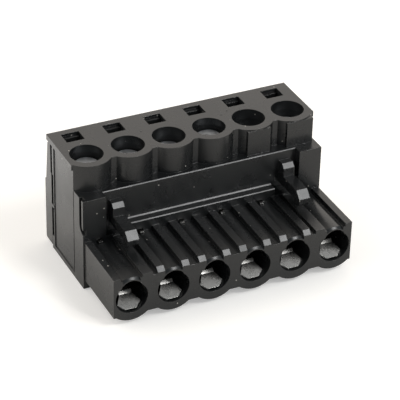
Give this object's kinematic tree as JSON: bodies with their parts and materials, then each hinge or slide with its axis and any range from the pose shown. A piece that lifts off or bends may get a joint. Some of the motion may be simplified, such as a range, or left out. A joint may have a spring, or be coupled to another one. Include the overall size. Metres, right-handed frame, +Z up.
{
  "type": "pluggable terminal block",
  "caption": "Pluggable screw terminal block with sockets and latch hooks in front, screw clamps under round holes and wire entries behind.",
  "frame": {"origin": "middle of the underside of the whole block's box", "axes": "+X along the row of poles, +Y from the sockets to the wire side, +Z up to the screws"},
  "size_m": [0.0304, 0.0196, 0.015],
  "materials": {
    "housing": "moulded black polyamide, satin",
    "rear_cover": "moulded black polyamide, satin",
    "contact": "copper alloy, bright tin plating",
    "clamp_yoke": "brass, nickel plated",
    "clamp_screw": "steel, zinc plated"
  },
  "bodies": {
    "block": {"housing": "housing", "rear_cover": "rear_cover", "contact_1": "contact", "contact_2": "contact", "contact_3": "contact", "contact_4": "contact", "contact_5": "contact", "contact_6": "contact"},
    "screw_1": {"clamp_screw_1": "clamp_screw"},
    "screw_2": {"clamp_screw_2": "clamp_screw"},
    "screw_3": {"clamp_screw_3": "clamp_screw"},
    "screw_4": {"clamp_screw_4": "clamp_screw"},
    "screw_5": {"clamp_screw_5": "clamp_screw"},
    "screw_6": {"clamp_screw_6": "clamp_screw"},
    "yoke_1": {"clamp_yoke_1": "clamp_yoke"},
    "yoke_2": {"clamp_yoke_2": "clamp_yoke"},
    "yoke_3": {"clamp_yoke_3": "clamp_yoke"},
    "yoke_4": {"clamp_yoke_4": "clamp_yoke"},
    "yoke_5": {"clamp_yoke_5": "clamp_yoke"},
    "yoke_6": {"clamp_yoke_6": "clamp_yoke"}
  },
  "joints": [
    {"name": "screw_1_turn", "type": "hinge", "parent": "block", "child": "screw_1", "pos_m": [-0.0127, 0.00293, 0.01], "axis": [0, 0, -1], "range_deg": [0, 1800]},
    {"name": "yoke_1_lift", "type": "slide", "parent": "block", "child": "yoke_1", "axis": [0, 0, 1], "range_m": [0, 0.00225]},
    {"name": "screw_2_turn", "type": "hinge", "parent": "block", "child": "screw_2", "pos_m": [-0.00762, 0.00293, 0.01], "axis": [0, 0, -1], "range_deg": [0, 1800]},
    {"name": "yoke_2_lift", "type": "slide", "parent": "block", "child": "yoke_2", "axis": [0, 0, 1], "range_m": [0, 0.00225]},
    {"name": "screw_3_turn", "type": "hinge", "parent": "block", "child": "screw_3", "pos_m": [-0.00254, 0.00293, 0.01], "axis": [0, 0, -1], "range_deg": [0, 1800]},
    {"name": "yoke_3_lift", "type": "slide", "parent": "block", "child": "yoke_3", "axis": [0, 0, 1], "range_m": [0, 0.00225]},
    {"name": "screw_4_turn", "type": "hinge", "parent": "block", "child": "screw_4", "pos_m": [0.00254, 0.00293, 0.01], "axis": [0, 0, -1], "range_deg": [0, 1800]},
    {"name": "yoke_4_lift", "type": "slide", "parent": "block", "child": "yoke_4", "axis": [0, 0, 1], "range_m": [0, 0.00225]},
    {"name": "screw_5_turn", "type": "hinge", "parent": "block", "child": "screw_5", "pos_m": [0.00762, 0.00293, 0.01], "axis": [0, 0, -1], "range_deg": [0, 1800]},
    {"name": "yoke_5_lift", "type": "slide", "parent": "block", "child": "yoke_5", "axis": [0, 0, 1], "range_m": [0, 0.00225]},
    {"name": "screw_6_turn", "type": "hinge", "parent": "block", "child": "screw_6", "pos_m": [0.0127, 0.00293, 0.01], "axis": [0, 0, -1], "range_deg": [0, 1800]},
    {"name": "yoke_6_lift", "type": "slide", "parent": "block", "child": "yoke_6", "axis": [0, 0, 1], "range_m": [0, 0.00225]}
  ],
  "couplings": [
    {"joint": "screw_1_turn", "follows": "yoke_1_lift", "rad_per_m": 13962},
    {"joint": "screw_2_turn", "follows": "yoke_2_lift", "rad_per_m": 13962},
    {"joint": "screw_3_turn", "follows": "yoke_3_lift", "rad_per_m": 13962},
    {"joint": "screw_4_turn", "follows": "yoke_4_lift", "rad_per_m": 13962},
    {"joint": "screw_5_turn", "follows": "yoke_5_lift", "rad_per_m": 13962},
    {"joint": "screw_6_turn", "follows": "yoke_6_lift", "rad_per_m": 13962}
  ]
}
